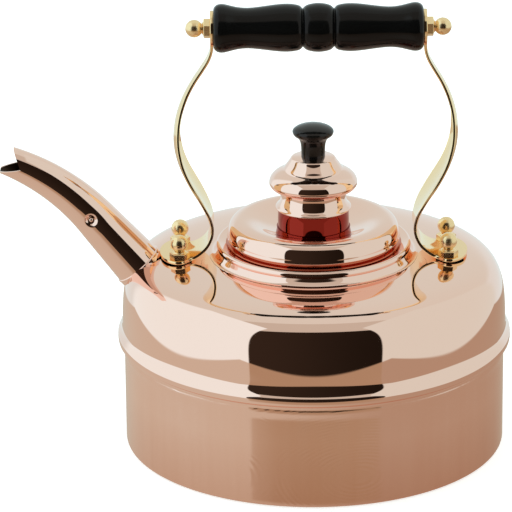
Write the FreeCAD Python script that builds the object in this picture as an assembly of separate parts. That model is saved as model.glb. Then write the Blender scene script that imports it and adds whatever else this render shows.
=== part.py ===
"""Stovetop whistling kettle: a copper body with a curved spout, a lift-off lid and a strap handle.

Millimetres. The origin is the centre of the base, on the surface the kettle stands on. +Z is up, the
spout points along -X, and the handle and the spout both lie in the XZ plane.
"""

import FreeCAD, Part
import math
import os

from FreeCAD import Vector

# Sheet metal and holes
WALL = 1.2
HOLE_CLEARANCE = 0.1
THROUGH = 20.0

# Base pan
PAN_RADIUS = 100.0
PAN_CORNER = 1.6
PAN_FLARE_START = 51.0
SEAM_Z = 58.0
FLANGE_RADIUS = 102.2

# Body shell: bead over the seam, upright wall, shoulder and almost flat top
BEAD_RADIUS = 103.2
LIP_GAP = 0.05
LIP_BOTTOM = 56.6
BODY_RADIUS = 100.8
WALL_TOP = 70.0
TOP_Z = 102.5

# Neck and lid seat
NECK_BORE = 43.4
NECK_RADIUS = 50.1
NECK_BEAD_RADIUS = 51.1
NECK_FOOT_RADIUS = 51.6
NECK_BOTTOM = 97.0
SEAT_Z = 108.0
NECK_TOP = 109.2

# Lid
LID_GAP = 0.05
SKIRT_RADIUS = 43.1
SKIRT_BOTTOM = 92.0
SKIRT_TOP = 113.0
LID_FLANGE_RADIUS = 45.2
LID_FLANGE_Z = 111.3
LID_FLANGE_TOP = 112.2
LID_CREST_RADIUS = 37.5
LID_CREST_Z = 121.3
DISH_RADIUS = 18.6
DISH_Z = 117.0

# Turret and knob
RIM_RADIUS = 23.0
RIM_Z = 141.6
SPOOL_TOP = 137.6
CAP_TOP = 155.1
CAP_RADIUS = 11.6
KNOB_STEM_RADIUS = 6.2
KNOB_STEM_TOP = 159.5
KNOB_RADIUS = 10.7
KNOB_RIM_Z = 169.1
KNOB_TOP = 172.9
KNOB_SCREW_RADIUS = 2.0
KNOB_SCREW_TOP = 165.0
KNOB_SCREW_BOTTOM = 110.0
KNOB_NUT_FLATS = 7.0
KNOB_NUT_HEIGHT = 3.0
WASHER_THICKNESS = 1.2
WASHER_RADIUS = 9.0

# Spout: a straight run from the ferrule, then a bend towards the mouth
SPOUT_BASE = Vector(-92.1, 0, 96.6)
SPOUT_RISE_DEG = 50.0
SPOUT_MOUTH_DEG = 22.0
SPOUT_STRAIGHT = 33.3
SPOUT_BEND_RADIUS = 112.0
SPOUT_END = 3.2
SPOUT_BASE_RADIUS = 12.9
SPOUT_NARROWING = 0.058
SPOUT_WALL = 1.0
MOUTH_NOTCH = Vector(-151.7, 0, 151.5)
UPPER_JAW_TIP = Vector(-155.4, 0, 161.5)
LOWER_JAW_TIP = Vector(-162.4, 0, 149.6)

# Ferrule
FERRULE_BAND = 5.4
FERRULE_RADIUS = 13.4
FERRULE_INNER = 11.5
FERRULE_DEPTH = 14.0
FERRULE_SKIRT = 17.0
FERRULE_SKIRT_DROP = 1.5
FERRULE_CLEARANCE = 0.3

# Whistle
WHISTLE_STATION = 36.6
WHISTLE_LENGTH = 10.0
WHISTLE_RADIUS = 9.1
WHISTLE_WALL = 0.7
WHISTLE_DISC = 0.8
WHISTLE_HOLE = 1.6
PIN_RADIUS = 1.4
PIN_HOLE_RADIUS = 1.9
DIMPLE_RADIUS = 3.8
DIMPLE_DEPTH = 1.0
DIMPLE_FLOOR = 9.8

# Handle
STRAP_THICKNESS = 1.6
STRAP_STEPS = 40
FOOT_TOP = 103.8
FOOT_CENTRE = 70.0
FOOT_LENGTH = 21.0
FOOT_WIDTH = 36.0
STUD_SPACING = 24.0
STUD_RADIUS = 2.0
TAB_X = 55.6
TAB_NECK_Z = 216.5
TAB_RADIUS = 9.2
WAIST_X = 53.7
WAIST_Z = 117.5
BELLY_X = 73.4
BELLY_Z = 170.0
HANDLE_LEAN = 3.0
LEAN_START = 128.0
GRIP_Z = 224.9
GRIP_RADIUS = 12.6
GRIP_WAIST = 10.4
GRIP_GROOVE = 9.9
GRIP_SWELL = 12.3
GRIP_BEAD_HALF = 8.0
ROD_RADIUS = 2.5

# Ball nuts
BALL_RADIUS = 4.55
BALL_HEX_FLATS = 9.0
BALL_HEX_HEIGHT = 3.4
BALL_NECK_RADIUS = 3.4
BALL_CENTRE_HEIGHT = 8.2
THREAD_DEPTH = 6.4
BORE_DEPTH = 6.6

# Fixings inside the body
PLATE_TOP = 99.2
PLATE_THICKNESS = 1.5
PLATE_LENGTH = 10.0
PLATE_MARGIN = 5.0
SEAL_TOP = 100.2
SEAL_RADIUS = 4.6
HEAD_RADIUS = 4.0
HEAD_HEIGHT = 2.2

Z_AXIS = Vector(0, 0, 1)
X_AXIS = Vector(1, 0, 0)


def line(start, end):
    """Straight edge between two points."""
    return Part.LineSegment(start, end).toShape()


def spline(points, start_tangent=None, end_tangent=None):
    """Smooth edge through the points, with tangents at its ends where they are given."""
    curve = Part.BSplineCurve()
    if start_tangent is None:
        curve.interpolate(points)
    else:
        curve.interpolate(Points=points, InitialTangent=start_tangent, FinalTangent=end_tangent)
    return curve.toShape()


def radial(points):
    """Points given as (radius, height) as vectors in the XZ plane."""
    return [Vector(radius, 0, height) for radius, height in points]


def turned(*edges):
    """Solid of revolution about the kettle's axis from the edges of a closed half section."""
    face = Part.Face(Part.Wire(Part.__sortEdges__(list(edges))))
    return face.revolve(Vector(), Z_AXIS, 360)


def turned_polygon(points):
    """Solid of revolution about the kettle's axis from (radius, height) corners."""
    corners = radial(points)
    edges = [line(a, b) for a, b in zip(corners, corners[1:] + corners[:1])]
    return turned(*edges)


def beside(curve, distance, steps):
    """Curve in the XZ plane at a distance from another, on its right hand as it is walked along."""
    first, last = curve.ParameterRange
    points = []
    for i in range(steps + 1):
        at = first + (last - first) * i / steps
        tangent = curve.tangentAt(at)
        points.append(curve.valueAt(at) + Vector(tangent.z, 0, -tangent.x) * distance)
    return spline(points)


def closing(first, second):
    """Straight edges that join the starts and the ends of two curves."""
    places = zip(first.ParameterRange, second.ParameterRange)
    return [line(first.valueAt(p), second.valueAt(q)) for p, q in places]


def spun(outline, thickness):
    """Spun sheet from its smooth outer outline of (radius, height) points, walked upwards."""
    outer = spline(radial(outline))
    inner = beside(outer, -thickness, 4 * len(outline))
    return turned(outer, inner, *closing(outer, inner))


def along(shape, origin, direction):
    """Shape built up the Z axis, moved so that it starts at origin and runs along direction."""
    moved = shape.copy()
    moved.Placement = FreeCAD.Placement(origin, FreeCAD.Rotation(Z_AXIS, direction))
    return moved


def tube(outer, inner, height):
    """Tube standing on the XY plane."""
    return Part.makeCylinder(outer, height).cut(Part.makeCylinder(inner, height))


def hexagon(flats, height):
    """Hexagonal prism standing on the XY plane, its corners on the X axis."""
    corner = flats / math.sqrt(3)
    angles = [k * math.pi / 3 for k in range(7)]
    points = [Vector(corner * math.cos(angle), corner * math.sin(angle), 0) for angle in angles]
    return Part.Face(Part.makePolygon(points)).extrude(Vector(0, 0, height))


def base_pan():
    """Lower pan: flat bottom, upright wall, and a rim that flares out to carry the seam."""
    corner_middle = PAN_CORNER * (1 - math.sqrt(0.5))
    bottom_right = Part.Arc(
        Vector(PAN_RADIUS - PAN_CORNER, 0, 0),
        Vector(PAN_RADIUS - corner_middle, 0, corner_middle),
        Vector(PAN_RADIUS, 0, PAN_CORNER),
    ).toShape()
    flare = spline(
        radial([(PAN_RADIUS, PAN_FLARE_START), (PAN_RADIUS + 0.5, 54.2), (FLANGE_RADIUS, SEAM_Z - WALL)]),
        Vector(0, 0, 1),
        Vector(1, 0, 0.6),
    )
    inner = PAN_RADIUS - WALL
    return turned(
        line(Vector(0, 0, 0), Vector(PAN_RADIUS - PAN_CORNER, 0, 0)),
        bottom_right,
        line(Vector(PAN_RADIUS, 0, PAN_CORNER), Vector(PAN_RADIUS, 0, PAN_FLARE_START)),
        flare,
        line(Vector(FLANGE_RADIUS, 0, SEAM_Z - WALL), Vector(FLANGE_RADIUS, 0, SEAM_Z)),
        line(Vector(FLANGE_RADIUS, 0, SEAM_Z), Vector(inner, 0, SEAM_Z)),
        line(Vector(inner, 0, SEAM_Z), Vector(inner, 0, WALL)),
        line(Vector(inner, 0, WALL), Vector(0, 0, WALL)),
        line(Vector(0, 0, WALL), Vector(0, 0, 0)),
    )


def dome_outline():
    """Outer outline of the body shell from the top of its upright wall to its flat top."""
    return [
        (BODY_RADIUS, WALL_TOP),
        (100.3, 79.0),
        (98.9, 87.6),
        (96.1, 94.4),
        (91.6, 98.4),
        (84.0, 100.6),
        (72.0, 101.7),
        (60.0, 102.2),
        (NECK_FOOT_RADIUS, TOP_Z),
    ]


def body_skin():
    """The dome without its holes: lip and bead over the seam, wall, shoulder, and flat ring at the neck."""
    lip = FLANGE_RADIUS + LIP_GAP
    bead = spline(
        radial(
            [
                (lip + 0.4, LIP_BOTTOM),
                (BEAD_RADIUS, SEAM_Z),
                (lip, 60.2),
                (101.1, 63.5),
                (BODY_RADIUS, WALL_TOP),
            ]
        ),
        Vector(1, 0, 0.6),
        Vector(0, 0, 1),
    )
    inner = BODY_RADIUS - WALL
    rim = turned(
        bead,
        line(Vector(lip + 0.4, 0, LIP_BOTTOM), Vector(lip, 0, LIP_BOTTOM)),
        line(Vector(lip, 0, LIP_BOTTOM), Vector(lip, 0, SEAM_Z)),
        line(Vector(lip, 0, SEAM_Z), Vector(inner, 0, SEAM_Z)),
        line(Vector(inner, 0, SEAM_Z), Vector(inner, 0, WALL_TOP)),
        line(Vector(inner, 0, WALL_TOP), Vector(BODY_RADIUS, 0, WALL_TOP)),
    )
    dome = spun(dome_outline(), WALL)
    hole = NECK_BORE + WALL
    ring = turned_polygon(
        [(hole, TOP_Z - WALL), (NECK_FOOT_RADIUS, TOP_Z - WALL), (NECK_FOOT_RADIUS, TOP_Z), (hole, TOP_Z)]
    )
    return rim.fuse([dome, ring]).removeSplitter()


def stud_places():
    """Places of the four handle studs, in plan."""
    return [
        Vector(side * FOOT_CENTRE, row * STUD_SPACING / 2, 0)
        for side in (-1, 1)
        for row in (-1, 1)
    ]


def body_shell():
    """Dome with the hole for the spout ferrule and the four handle studs."""
    shell = body_skin()
    bore = along(Part.makeCylinder(FERRULE_RADIUS, 2 * THROUGH), spout_point(-THROUGH), spout_direction(0))
    shell = shell.cut(bore)
    for place in stud_places():
        start = place + Vector(0, 0, TOP_Z - THROUGH / 2)
        hole = Part.makeCylinder(STUD_RADIUS + HOLE_CLEARANCE, THROUGH, start)
        shell = shell.cut(hole)
    return shell


def neck_ring():
    """Collar of the filling mouth: tube into the body, seat for the lid, and a beaded rim."""
    outer = NECK_BORE + WALL
    bead = spline(
        radial([(NECK_RADIUS, 105.6), (NECK_BEAD_RADIUS, 107.3), (50.6, 108.7), (49.5, NECK_TOP)]),
        Vector(0.3, 0, 1),
        Vector(-1, 0, -0.1),
    )
    corners = radial(
        [
            (49.5, NECK_TOP),
            (45.7, SEAT_Z),
            (NECK_BORE, SEAT_Z),
            (NECK_BORE, NECK_BOTTOM),
            (outer, NECK_BOTTOM),
            (outer, SEAT_Z - WALL),
            (NECK_RADIUS - WALL, SEAT_Z - WALL),
            (NECK_RADIUS - WALL, TOP_Z),
            (NECK_FOOT_RADIUS, TOP_Z),
            (NECK_RADIUS, 103.9),
            (NECK_RADIUS, 105.6),
        ]
    )
    return turned(bead, *[line(a, b) for a, b in zip(corners, corners[1:])])


def spout_direction(station):
    """Direction of the spout's axis at a distance from its base."""
    bend = max(0.0, station - SPOUT_STRAIGHT) / SPOUT_BEND_RADIUS
    angle = math.radians(SPOUT_RISE_DEG) - min(bend, math.radians(SPOUT_RISE_DEG - SPOUT_MOUTH_DEG))
    return Vector(-math.cos(angle), 0, math.sin(angle))


def spout_bend_length():
    """Length of the bend along the spout's axis."""
    return SPOUT_BEND_RADIUS * math.radians(SPOUT_RISE_DEG - SPOUT_MOUTH_DEG)


def spout_point(station):
    """Point on the spout's axis at a distance from its base. Negative distances lie inside the body."""
    straight = min(station, SPOUT_STRAIGHT)
    point = SPOUT_BASE + spout_direction(0) * straight
    bend = min(max(0.0, station - SPOUT_STRAIGHT), spout_bend_length())
    start = math.radians(SPOUT_RISE_DEG)
    end = start - bend / SPOUT_BEND_RADIUS
    point += Vector(math.sin(end) - math.sin(start), 0, math.cos(end) - math.cos(start)) * SPOUT_BEND_RADIUS
    beyond = max(0.0, station - SPOUT_STRAIGHT - spout_bend_length())
    return point + spout_direction(station) * beyond


def spout_solid(shrink):
    """Solid spout with its outer radius reduced by shrink, from its base to past the mouth."""
    end = SPOUT_STRAIGHT + spout_bend_length() + SPOUT_END
    stations = [0.0, SPOUT_STRAIGHT]
    stations += [SPOUT_STRAIGHT + spout_bend_length() * k / 4 for k in range(1, 5)]
    stations.append(end)
    sections = []
    for station in stations:
        radius = SPOUT_BASE_RADIUS - SPOUT_NARROWING * station - shrink
        circle = Part.Circle(spout_point(station), spout_direction(station), radius)
        sections.append(Part.Wire(circle.toShape()))
    return Part.makeLoft(sections, True, False)


def spout():
    """Curved tapering tube with a beak: short upper jaw, long lower jaw, and dimples for the pins."""
    tube_shape = spout_solid(0).cut(spout_solid(SPOUT_WALL))
    beyond = 1.6  # carries the cut past the edge of the tube
    upper = MOUTH_NOTCH + (UPPER_JAW_TIP - MOUTH_NOTCH) * beyond
    lower = MOUTH_NOTCH + (LOWER_JAW_TIP - MOUTH_NOTCH) * beyond
    far = lower.x - THROUGH
    outline = [MOUTH_NOTCH, lower, Vector(far, 0, lower.z), Vector(far, 0, upper.z), upper, MOUTH_NOTCH]
    outline = [point - Vector(0, THROUGH, 0) for point in outline]
    cutter = Part.Face(Part.makePolygon(outline)).extrude(Vector(0, 2 * THROUGH, 0))
    tube_shape = tube_shape.cut(cutter)
    for side in (-1, 1):
        outward = Vector(0, side, 0)
        start = spout_point(WHISTLE_STATION) + outward * (WHISTLE_RADIUS - 1)
        hole = along(Part.makeCylinder(PIN_HOLE_RADIUS, THROUGH), start, outward)
        dimple = Part.makeCone(PIN_HOLE_RADIUS, DIMPLE_RADIUS, DIMPLE_DEPTH)
        floor = spout_point(WHISTLE_STATION) + outward * DIMPLE_FLOOR
        tube_shape = tube_shape.cut([hole, along(dimple, floor, outward)])
    return tube_shape


def spout_ferrule():
    """Band and flared skirt that join the spout to the shoulder, with a tube down into the body."""
    direction = spout_direction(0)
    length = FERRULE_BAND + FERRULE_DEPTH
    sleeve = along(tube(FERRULE_RADIUS, FERRULE_INNER, length), spout_point(-length), direction)
    cone = Part.makeCone(FERRULE_SKIRT, FERRULE_RADIUS, FERRULE_BAND)
    core = Part.makeCylinder(FERRULE_RADIUS - HOLE_CLEARANCE, FERRULE_BAND)
    skirt = along(cone.cut(core), spout_point(-FERRULE_BAND - FERRULE_SKIRT_DROP), direction)
    body = turned(
        spline(radial(dome_outline())),
        line(Vector(NECK_FOOT_RADIUS, 0, TOP_Z), Vector(0, 0, TOP_Z)),
        line(Vector(0, 0, TOP_Z), Vector(0, 0, WALL_TOP)),
        line(Vector(0, 0, WALL_TOP), Vector(BODY_RADIUS, 0, WALL_TOP)),
    )
    skirt = skirt.cut([body, strap_foot(-1, FERRULE_CLEARANCE)])
    return sleeve.fuse(skirt).removeSplitter()


def whistle_place(station):
    """Point on the straight line through the whistle, which lies across the start of the bend."""
    return SPOUT_BASE + spout_direction(0) * station


def whistle_barrel():
    """Tube that holds the whistle's two discs."""
    start = WHISTLE_STATION - WHISTLE_LENGTH / 2
    barrel = tube(WHISTLE_RADIUS, WHISTLE_RADIUS - WHISTLE_WALL, WHISTLE_LENGTH)
    return along(barrel, whistle_place(start), spout_direction(0))


def whistle_disc(station):
    """Disc across the barrel, with the hole that makes the note."""
    disc = tube(WHISTLE_RADIUS - WHISTLE_WALL, WHISTLE_HOLE, WHISTLE_DISC)
    return along(disc, whistle_place(station), spout_direction(0))


def whistle_pins():
    """Two round-headed pins in the sides of the spout, against the whistle's barrel."""
    start = whistle_place(WHISTLE_STATION - WHISTLE_LENGTH / 2)
    barrel = Part.makeCylinder(WHISTLE_RADIUS + HOLE_CLEARANCE, WHISTLE_LENGTH)
    barrel = along(barrel, start, spout_direction(0))
    pins = []
    for side in (-1, 1):
        head = Part.makeSphere(PIN_RADIUS, spout_point(WHISTLE_STATION) + Vector(0, side * WHISTLE_RADIUS, 0))
        pins.append(head.cut(barrel))
    return Part.makeCompound(pins)


def lid_shell():
    """Spun lid: rolled flange, domed shoulder, and a shallow dish that carries the turret."""
    edge = SKIRT_RADIUS
    outer = spline(
        radial(
            [
                (LID_FLANGE_RADIUS, LID_FLANGE_TOP),
                (44.9, 113.5),
                (44.7, 115.4),
                (44.2, 117.3),
                (43.3, 119.0),
                (41.0, 120.7),
                (LID_CREST_RADIUS, LID_CREST_Z),
                (33.0, 120.8),
                (26.0, 118.9),
                (DISH_RADIUS, DISH_Z),
            ]
        )
    )
    inner = spline(
        radial(
            [
                (edge, SKIRT_TOP),
                (43.2, 115.2),
                (42.7, 117.1),
                (41.6, 118.7),
                (LID_CREST_RADIUS, LID_CREST_Z - WALL),
                (33.2, 119.6),
                (26.3, 117.7),
                (DISH_RADIUS, DISH_Z - WALL),
            ]
        )
    )
    hole = KNOB_SCREW_RADIUS + HOLE_CLEARANCE
    corners = radial(
        [
            (DISH_RADIUS, DISH_Z),
            (hole, DISH_Z),
            (hole, DISH_Z - WALL),
            (DISH_RADIUS, DISH_Z - WALL),
        ]
    )
    rim = radial(
        [
            (edge, SKIRT_TOP),
            (edge, LID_FLANGE_Z),
            (LID_FLANGE_RADIUS, LID_FLANGE_Z),
            (LID_FLANGE_RADIUS, LID_FLANGE_TOP),
        ]
    )
    edges = [line(a, b) for a, b in zip(corners, corners[1:])]
    edges += [line(a, b) for a, b in zip(rim, rim[1:])]
    return turned(outer, inner, *edges)


def lid_skirt():
    """Ring under the lid that centres it in the neck, with a bead that rests on the seat."""
    seat = SEAT_Z + LID_GAP
    inner = SKIRT_RADIUS - WALL
    return turned_polygon(
        [
            (inner, SKIRT_BOTTOM),
            (SKIRT_RADIUS, SKIRT_BOTTOM),
            (SKIRT_RADIUS, seat),
            (45.3, seat),
            (45.3, seat + 0.9),
            (SKIRT_RADIUS, seat + 1.6),
            (SKIRT_RADIUS, SKIRT_TOP),
            (inner, SKIRT_TOP),
        ]
    )


def turret_spool():
    """Hollow spool between lid and turret dome: upright neck under a flared bell with a thin lip."""
    return turned_polygon(
        [
            (DISH_RADIUS, DISH_Z),
            (DISH_RADIUS, 127.0),
            (19.4, 127.3),
            (19.7, 127.9),
            (19.2, 128.7),
            (18.3, 129.6),
            (17.5, 131.0),
            (17.0, 133.0),
            (16.8, 135.2),
            (17.0, SPOOL_TOP),
            (15.4, SPOOL_TOP),
            (15.2, 135.0),
            (15.5, 132.6),
            (16.3, 130.4),
            (17.2, 128.8),
            (17.4, 126.0),
            (17.4, DISH_Z),
        ]
    )


def turret_dome():
    """Hollow turret top: broad rounded rim rising to a short cone with a flat top for the knob."""
    hole = KNOB_SCREW_RADIUS + HOLE_CLEARANCE
    outer = spline(
        radial(
            [
                (20.6, 138.0),
                (22.4, 139.6),
                (RIM_RADIUS, RIM_Z),
                (22.1, 144.0),
                (19.6, 146.4),
                (15.8, 148.5),
            ]
        )
    )
    cone = spline(
        radial([(15.8, 148.5), (14.9, 149.5), (13.1, 152.2), (CAP_RADIUS, 154.5), (10.8, CAP_TOP)]),
        Vector(-0.8, 0, 1),
        Vector(-1, 0, 0),
    )
    corners = radial(
        [
            (10.8, CAP_TOP),
            (hole, CAP_TOP),
            (hole, CAP_TOP - WALL),
            (10.4, CAP_TOP - WALL),
            (11.4, 152.8),
            (13.9, 148.4),
            (18.8, 145.4),
            (21.0, 143.2),
            (RIM_RADIUS - WALL, RIM_Z),
            (20.8, 139.6),
            (14.0, 138.8),
            (14.0, SPOOL_TOP),
            (17.5, SPOOL_TOP),
            (20.6, 138.0),
        ]
    )
    return turned(outer, cone, *[line(a, b) for a, b in zip(corners, corners[1:])])


def knob():
    """Black knob: slim stem flaring into a shallow domed cap, bored for its screw."""
    side = spline(
        radial(
            [
                (KNOB_STEM_RADIUS, KNOB_STEM_TOP),
                (6.7, 163.4),
                (8.3, 165.8),
                (10.2, 167.4),
                (KNOB_RADIUS, KNOB_RIM_Z),
            ]
        ),
        Vector(0, 0, 1),
        Vector(0.1, 0, 1),
    )
    cap = spline(
        radial([(KNOB_RADIUS, KNOB_RIM_Z), (9.6, 170.5), (6.2, 172.1), (0, KNOB_TOP)]),
        Vector(-0.1, 0, 1),
        Vector(-1, 0, 0),
    )
    solid = turned(
        line(Vector(0, 0, CAP_TOP), Vector(KNOB_STEM_RADIUS, 0, CAP_TOP)),
        line(Vector(KNOB_STEM_RADIUS, 0, CAP_TOP), Vector(KNOB_STEM_RADIUS, 0, KNOB_STEM_TOP)),
        side,
        cap,
        line(Vector(0, 0, KNOB_TOP), Vector(0, 0, CAP_TOP)),
    )
    bore = Part.makeCylinder(KNOB_SCREW_RADIUS, KNOB_SCREW_TOP - CAP_TOP, Vector(0, 0, CAP_TOP))
    return solid.cut(bore)


def knob_screw():
    """Screw that clamps knob, turret and lid together."""
    return Part.makeCylinder(
        KNOB_SCREW_RADIUS, KNOB_SCREW_TOP - KNOB_SCREW_BOTTOM, Vector(0, 0, KNOB_SCREW_BOTTOM)
    )


def knob_washer():
    """Washer under the lid's dish."""
    washer = tube(WASHER_RADIUS, KNOB_SCREW_RADIUS, WASHER_THICKNESS)
    washer.translate(Vector(0, 0, DISH_Z - WALL - WASHER_THICKNESS))
    return washer


def knob_nut():
    """Nut under the washer."""
    nut = hexagon(KNOB_NUT_FLATS, KNOB_NUT_HEIGHT).cut(Part.makeCylinder(KNOB_SCREW_RADIUS, KNOB_NUT_HEIGHT))
    nut.translate(Vector(0, 0, DISH_Z - WALL - WASHER_THICKNESS - KNOB_NUT_HEIGHT))
    return nut


def lean(height):
    """Offset of the handle along X at a height: it leans away from the spout."""
    return HANDLE_LEAN * min(1.0, max(0.0, height - LEAN_START) / (GRIP_Z - TAB_RADIUS - LEAN_START))


def strap_curve(side):
    """Outer face of a strap in the XZ plane, from the bottom of its tab down to its foot."""
    outline = [
        (TAB_X, TAB_NECK_Z),
        (56.9, 210.0),
        (63.5, 199.2),
        (70.4, 185.4),
        (BELLY_X, BELLY_Z),
        (71.9, 156.4),
        (65.3, 141.8),
        (57.5, 129.1),
        (WAIST_X, WAIST_Z),
        (56.9, 109.4),
        (59.6, 106.1),
        (62.2, 104.5),
        (65.0, FOOT_TOP),
    ]
    return spline([Vector(side * x + lean(z), 0, z) for x, z in outline])


def leaf_outline(side_of_leaf):
    """One edge of the strap seen end-on: slim at the tab, a broad leaf below, narrower at the waist."""
    half_widths = [
        (11.5, FOOT_TOP - 4.0),
        (10.0, WAIST_Z),
        (13.8, 140.0),
        (10.5, 165.0),
        (6.2, 188.0),
        (4.7, 205.0),
        (5.2, 218.0),
    ]
    return [Vector(0, side_of_leaf * half, height) for half, height in half_widths]


def strap_foot(side, clearance):
    """Oval foot of a strap, grown by a clearance."""
    foot = Part.makeCylinder(FOOT_WIDTH / 2 + clearance, STRAP_THICKNESS + 2 * clearance)
    squeeze = FreeCAD.Matrix()
    squeeze.scale(Vector((FOOT_LENGTH + 2 * clearance) / (FOOT_WIDTH + 2 * clearance), 1, 1))
    foot = foot.transformGeometry(squeeze)
    foot.translate(Vector(side * FOOT_CENTRE, 0, FOOT_TOP - STRAP_THICKNESS - clearance))
    return foot


def strap(side):
    """Brass strap: round tab at the grip, S-shaped leaf, and an oval foot with two stud holes."""
    outer = strap_curve(side)
    inner = beside(outer, side * STRAP_THICKNESS, STRAP_STEPS)
    ribbon = Part.Face(Part.Wire(Part.__sortEdges__([outer, inner] + closing(outer, inner))))
    ribbon.translate(Vector(0, -FOOT_WIDTH / 2, 0))
    ribbon = ribbon.extrude(Vector(0, FOOT_WIDTH, 0))

    near_side = leaf_outline(-1)
    far_side = leaf_outline(1)
    caps = [line(near_side[k], far_side[k]) for k in (0, -1)]
    leaf = Part.Face(Part.Wire(Part.__sortEdges__([spline(near_side), spline(far_side)] + caps)))
    blade = ribbon.common(leaf.extrude(Vector(side * (BELLY_X + FOOT_CENTRE), 0, 0)))

    tab_face = side * TAB_X + lean(GRIP_Z)
    tab = Part.makeCylinder(TAB_RADIUS, STRAP_THICKNESS, Vector(tab_face, 0, GRIP_Z), X_AXIS * -side)
    solid = blade.fuse([tab, strap_foot(side, 0)]).removeSplitter()
    if side < 0:
        beside_ferrule = Part.makeCylinder(FERRULE_RADIUS + FERRULE_CLEARANCE, 2 * THROUGH)
        solid = solid.cut(along(beside_ferrule, spout_point(-THROUGH), spout_direction(0)))
    rod_start = Vector(tab_face - THROUGH / 2, 0, GRIP_Z)
    rod_hole = Part.makeCylinder(ROD_RADIUS + HOLE_CLEARANCE, THROUGH, rod_start, X_AXIS)
    solid = solid.cut(rod_hole)
    for row in (-1, 1):
        place = Vector(side * FOOT_CENTRE, row * STUD_SPACING / 2, FOOT_TOP - THROUGH / 2)
        solid = solid.cut(Part.makeCylinder(STUD_RADIUS + HOLE_CLEARANCE, THROUGH, place))
    return solid


def grip():
    """Turned black grip: flared ends, waists, swells, and a bead between two grooves."""
    half = TAB_X - STRAP_THICKNESS
    outline = [
        (half, 8.6),
        (half - 0.9, 11.0),
        (half - 4.0, GRIP_RADIUS),
        (half - 10.0, 11.4),
        (half - 17.0, GRIP_WAIST),
        (half - 26.0, 11.3),
        (half - 36.0, GRIP_SWELL),
        (half - 43.0, 11.7),
        (GRIP_BEAD_HALF, GRIP_GROOVE),
    ]
    bead = [
        (GRIP_BEAD_HALF, GRIP_GROOVE),
        (4.5, 12.0),
        (0, GRIP_RADIUS),
        (-4.5, 12.0),
        (-GRIP_BEAD_HALF, GRIP_GROOVE),
    ]
    centre = Vector(lean(GRIP_Z), 0, GRIP_Z)

    def place(points):
        return [centre + Vector(x, 0, radius) for x, radius in points]

    axis_points = [centre + Vector(x, 0, ROD_RADIUS + HOLE_CLEARANCE) for x in (half, -half)]
    right = place(outline)
    left = place([(-x, radius) for x, radius in outline])
    edges = [
        spline(right),
        spline(place(bead)),
        spline(left),
        line(right[0], axis_points[0]),
        line(axis_points[0], axis_points[1]),
        line(axis_points[1], left[0]),
    ]
    face = Part.Face(Part.Wire(Part.__sortEdges__(edges)))
    return face.revolve(centre, X_AXIS, 360)


def tie_rod():
    """Rod through the grip and both strap tabs, into the ball nuts."""
    length = 2 * (TAB_X + THREAD_DEPTH)
    start = Vector(lean(GRIP_Z) - length / 2, 0, GRIP_Z)
    return Part.makeCylinder(ROD_RADIUS, length, start, X_AXIS)


def ball_nut(bore_radius):
    """Hexagon nut with a ball end, standing on the XY plane, bored from below."""
    hexagon_base = hexagon(BALL_HEX_FLATS, BALL_HEX_HEIGHT)
    neck = Part.makeCylinder(BALL_NECK_RADIUS, BALL_CENTRE_HEIGHT)
    ball = Part.makeSphere(BALL_RADIUS, Vector(0, 0, BALL_CENTRE_HEIGHT))
    bore = Part.makeCylinder(bore_radius, BORE_DEPTH)
    return hexagon_base.fuse([neck, ball]).cut(bore)


def grip_ball_nuts():
    """Ball nuts on the two ends of the tie rod."""
    nuts = []
    for side in (-1, 1):
        start = Vector(side * TAB_X + lean(GRIP_Z), 0, GRIP_Z)
        nuts.append(along(ball_nut(ROD_RADIUS), start, X_AXIS * side))
    return Part.makeCompound(nuts)


def foot_ball_nuts():
    """Ball nuts on the four handle studs."""
    nuts = []
    for place in stud_places():
        nut = ball_nut(STUD_RADIUS)
        nut.translate(place + Vector(0, 0, FOOT_TOP))
        nuts.append(nut)
    return Part.makeCompound(nuts)


def foot_studs():
    """Four screws up through backing plate, seal, dome and strap foot into the ball nuts."""
    studs = []
    for place in stud_places():
        head_bottom = place + Vector(0, 0, PLATE_TOP - PLATE_THICKNESS - HEAD_HEIGHT)
        shank_length = FOOT_TOP + THREAD_DEPTH - head_bottom.z
        shank = Part.makeCylinder(STUD_RADIUS, shank_length, head_bottom)
        head = Part.makeCylinder(HEAD_RADIUS, HEAD_HEIGHT, head_bottom)
        studs.append(shank.fuse(head).removeSplitter())
    return Part.makeCompound(studs)


def foot_seals():
    """Four sealing rings between the dome and the backing plates."""
    seals = []
    for place in stud_places():
        seal = tube(SEAL_RADIUS, STUD_RADIUS, SEAL_TOP - PLATE_TOP)
        seal.translate(place + Vector(0, 0, PLATE_TOP))
        seals.append(seal)
    return Part.makeCompound(seals)


def backing_plates():
    """Two plates inside the dome that spread the handle's load."""
    plates = []
    for side in (-1, 1):
        centre = Vector(side * FOOT_CENTRE, 0, PLATE_TOP - PLATE_THICKNESS)
        width = STUD_SPACING + 2 * PLATE_MARGIN
        corner = centre - Vector(PLATE_LENGTH, width, 0) / 2
        plate = Part.makeBox(PLATE_LENGTH, width, PLATE_THICKNESS, corner)
        for row in (-1, 1):
            place = centre + Vector(0, row * STUD_SPACING / 2, 0)
            plate = plate.cut(Part.makeCylinder(STUD_RADIUS, PLATE_THICKNESS, place))
        plates.append(plate)
    return Part.makeCompound(plates)


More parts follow.
